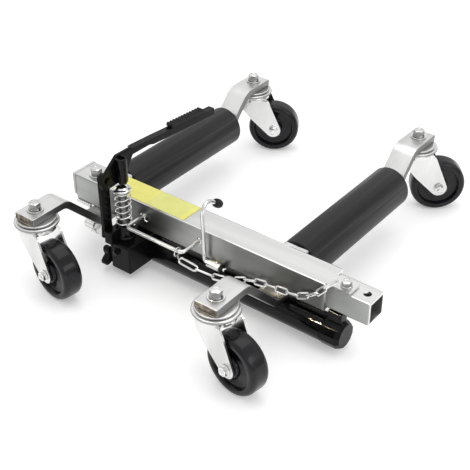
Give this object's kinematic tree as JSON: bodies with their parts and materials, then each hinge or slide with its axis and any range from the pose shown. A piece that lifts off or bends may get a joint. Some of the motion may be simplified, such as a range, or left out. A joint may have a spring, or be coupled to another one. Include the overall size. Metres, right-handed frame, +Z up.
{
  "type": "wheel dolly",
  "caption": "Hydraulic wheel dolly: telescopic square beam with two long rollers that close under a tyre, foot pump and ram, and swivel casters on bent arms.",
  "frame": {"origin": "floor level, under the centre of the dolly's bounding box", "axes": "+X along the beam from the closed end to the open end, +Y from the beam to the far ends of the rollers, +Z up"},
  "size_m": [0.54, 0.6225, 0.1955],
  "materials": {
    "zinc_steel": "zinc plated, satin",
    "bright_steel": "bright zinc plated",
    "black_paint": "gloss black enamel",
    "bush_plastic": "matt black",
    "roller_paint": "satin black",
    "wheel_plastic": "gloss black",
    "rubber": "matt black",
    "label": "pale yellow film"
  },
  "bodies": {
    "fixed_frame": {"outer_tube": "zinc_steel", "yellow_label": "label", "front_left_bar": "zinc_steel", "rear_left_bar": "zinc_steel", "left_axle_plate": "zinc_steel", "left_axle": "zinc_steel", "beam_end_bolt": "bright_steel", "chain_bolt": "bright_steel", "keeper_chain": "bright_steel", "pump_block": "black_paint", "ram_rod": "bright_steel", "ram_anchor": "zinc_steel", "fulcrum_link": "black_paint", "pivot_pin": "bright_steel", "latch_sleeve": "zinc_steel", "return_spring": "bright_steel", "front_left_stem_bolt": "bright_steel", "rear_left_stem_bolt": "bright_steel", "front_left_race": "zinc_steel", "rear_left_race": "zinc_steel"},
    "sliding_frame": {"inner_tube": "zinc_steel", "front_right_bar": "zinc_steel", "rear_right_bar": "zinc_steel", "right_axle_plate": "zinc_steel", "right_axle": "zinc_steel", "ram_barrel": "black_paint", "ram_cap": "black_paint", "ram_web": "zinc_steel", "front_right_stem_bolt": "bright_steel", "rear_right_stem_bolt": "bright_steel", "front_right_race": "zinc_steel", "rear_right_race": "zinc_steel"},
    "left_roller_set": {"left_roller": "roller_paint", "left_roller_near_bush": "bush_plastic", "left_roller_far_bush": "bush_plastic"},
    "right_roller_set": {"right_roller": "roller_paint", "right_roller_near_bush": "bush_plastic", "right_roller_far_bush": "bush_plastic"},
    "pedal": {"pedal_arm": "black_paint", "pedal_pusher": "black_paint", "foot_pad": "rubber"},
    "pump_plunger": {"plunger": "bright_steel"},
    "lock_pin_set": {"lock_pin": "bright_steel", "pin_ring": "bright_steel"},
    "latch": {"latch_lever": "bright_steel", "latch_tip": "rubber", "latch_collar": "black_paint"},
    "release_valve": {"release_knob": "black_paint"},
    "front_left_swivel": {"front_left_fork": "zinc_steel", "front_left_axle": "bright_steel"},
    "front_left_wheel_set": {"front_left_wheel": "wheel_plastic"},
    "front_right_swivel": {"front_right_fork": "zinc_steel", "front_right_axle": "bright_steel"},
    "front_right_wheel_set": {"front_right_wheel": "wheel_plastic"},
    "rear_left_swivel": {"rear_left_fork": "zinc_steel", "rear_left_axle": "bright_steel"},
    "rear_left_wheel_set": {"rear_left_wheel": "wheel_plastic"},
    "rear_right_swivel": {"rear_right_fork": "zinc_steel", "rear_right_axle": "bright_steel"},
    "rear_right_wheel_set": {"rear_right_wheel": "wheel_plastic"}
  },
  "joints": [
    {"name": "expansion_slide", "type": "slide", "parent": "fixed_frame", "child": "sliding_frame", "axis": [1, 0, 0], "range_m": [0, 0.165]},
    {"name": "left_roller_spin", "type": "hinge", "parent": "fixed_frame", "child": "left_roller_set", "pos_m": [-0.212, -0.1227, 0.0767], "axis": [0, 1, 0], "continuous": true},
    {"name": "right_roller_spin", "type": "hinge", "parent": "sliding_frame", "child": "right_roller_set", "pos_m": [0.121, -0.1227, 0.0767], "axis": [0, 1, 0], "continuous": true},
    {"name": "front_left_swivel_turn", "type": "hinge", "parent": "fixed_frame", "child": "front_left_swivel", "pos_m": [-0.212, -0.2762, 0.1], "axis": [0, 0, 1], "continuous": true},
    {"name": "front_left_wheel_spin", "type": "hinge", "parent": "front_left_swivel", "child": "front_left_wheel_set", "pos_m": [-0.17348, -0.2823, 0.045], "axis": [0.1564, 0.9877, 0], "continuous": true},
    {"name": "front_right_swivel_turn", "type": "hinge", "parent": "sliding_frame", "child": "front_right_swivel", "pos_m": [0.121, -0.2762, 0.1], "axis": [0, 0, 1], "continuous": true},
    {"name": "front_right_wheel_spin", "type": "hinge", "parent": "front_right_swivel", "child": "front_right_wheel_set", "pos_m": [0.15962, -0.28163, 0.045], "axis": [0.1392, 0.9903, 0], "continuous": true},
    {"name": "rear_left_swivel_turn", "type": "hinge", "parent": "fixed_frame", "child": "rear_left_swivel", "pos_m": [-0.212, 0.2508, 0.1], "axis": [0, 0, 1], "range_deg": [-91, 211]},
    {"name": "rear_left_wheel_spin", "type": "hinge", "parent": "rear_left_swivel", "child": "rear_left_wheel_set", "pos_m": [-0.17822, 0.2703, 0.045], "axis": [-0.5, 0.866, 0], "continuous": true},
    {"name": "rear_right_swivel_turn", "type": "hinge", "parent": "sliding_frame", "child": "rear_right_swivel", "pos_m": [0.121, 0.2508, 0.1], "axis": [0, 0, 1], "range_deg": [-99, 203]},
    {"name": "rear_right_wheel_spin", "type": "hinge", "parent": "rear_right_swivel", "child": "rear_right_wheel_set", "pos_m": [0.15173, 0.27481, 0.045], "axis": [-0.6157, 0.788, 0], "continuous": true},
    {"name": "pedal_hinge", "type": "hinge", "parent": "fixed_frame", "child": "pedal", "pos_m": [-0.1475, -0.1917, 0.162], "axis": [1, 0, 0], "range_deg": [-28, 0], "stiffness_Nm_per_rad": 5, "springref_deg": 17.19},
    {"name": "plunger_slide", "type": "slide", "parent": "fixed_frame", "child": "pump_plunger", "axis": [0, 0, 1], "range_m": [-0.012, 0], "deforming": ["return_spring"]},
    {"name": "lock_pin_slide", "type": "slide", "parent": "fixed_frame", "child": "lock_pin_set", "axis": [0, -1, 0], "range_m": [0, 0.025]},
    {"name": "latch_hinge", "type": "hinge", "parent": "fixed_frame", "child": "latch", "pos_m": [0.001, -0.1527, 0.062], "axis": [1, 0, 0], "range_deg": [0, 40]},
    {"name": "release_knob_turn", "type": "hinge", "parent": "fixed_frame", "child": "release_valve", "pos_m": [-0.148, -0.1847, 0.024], "axis": [1, 0, 0], "range_deg": [0, 180]}
  ],
  "couplings": [
    {"joint": "plunger_slide", "follows": "pedal_hinge", "m_per_rad": 0.0236}
  ]
}
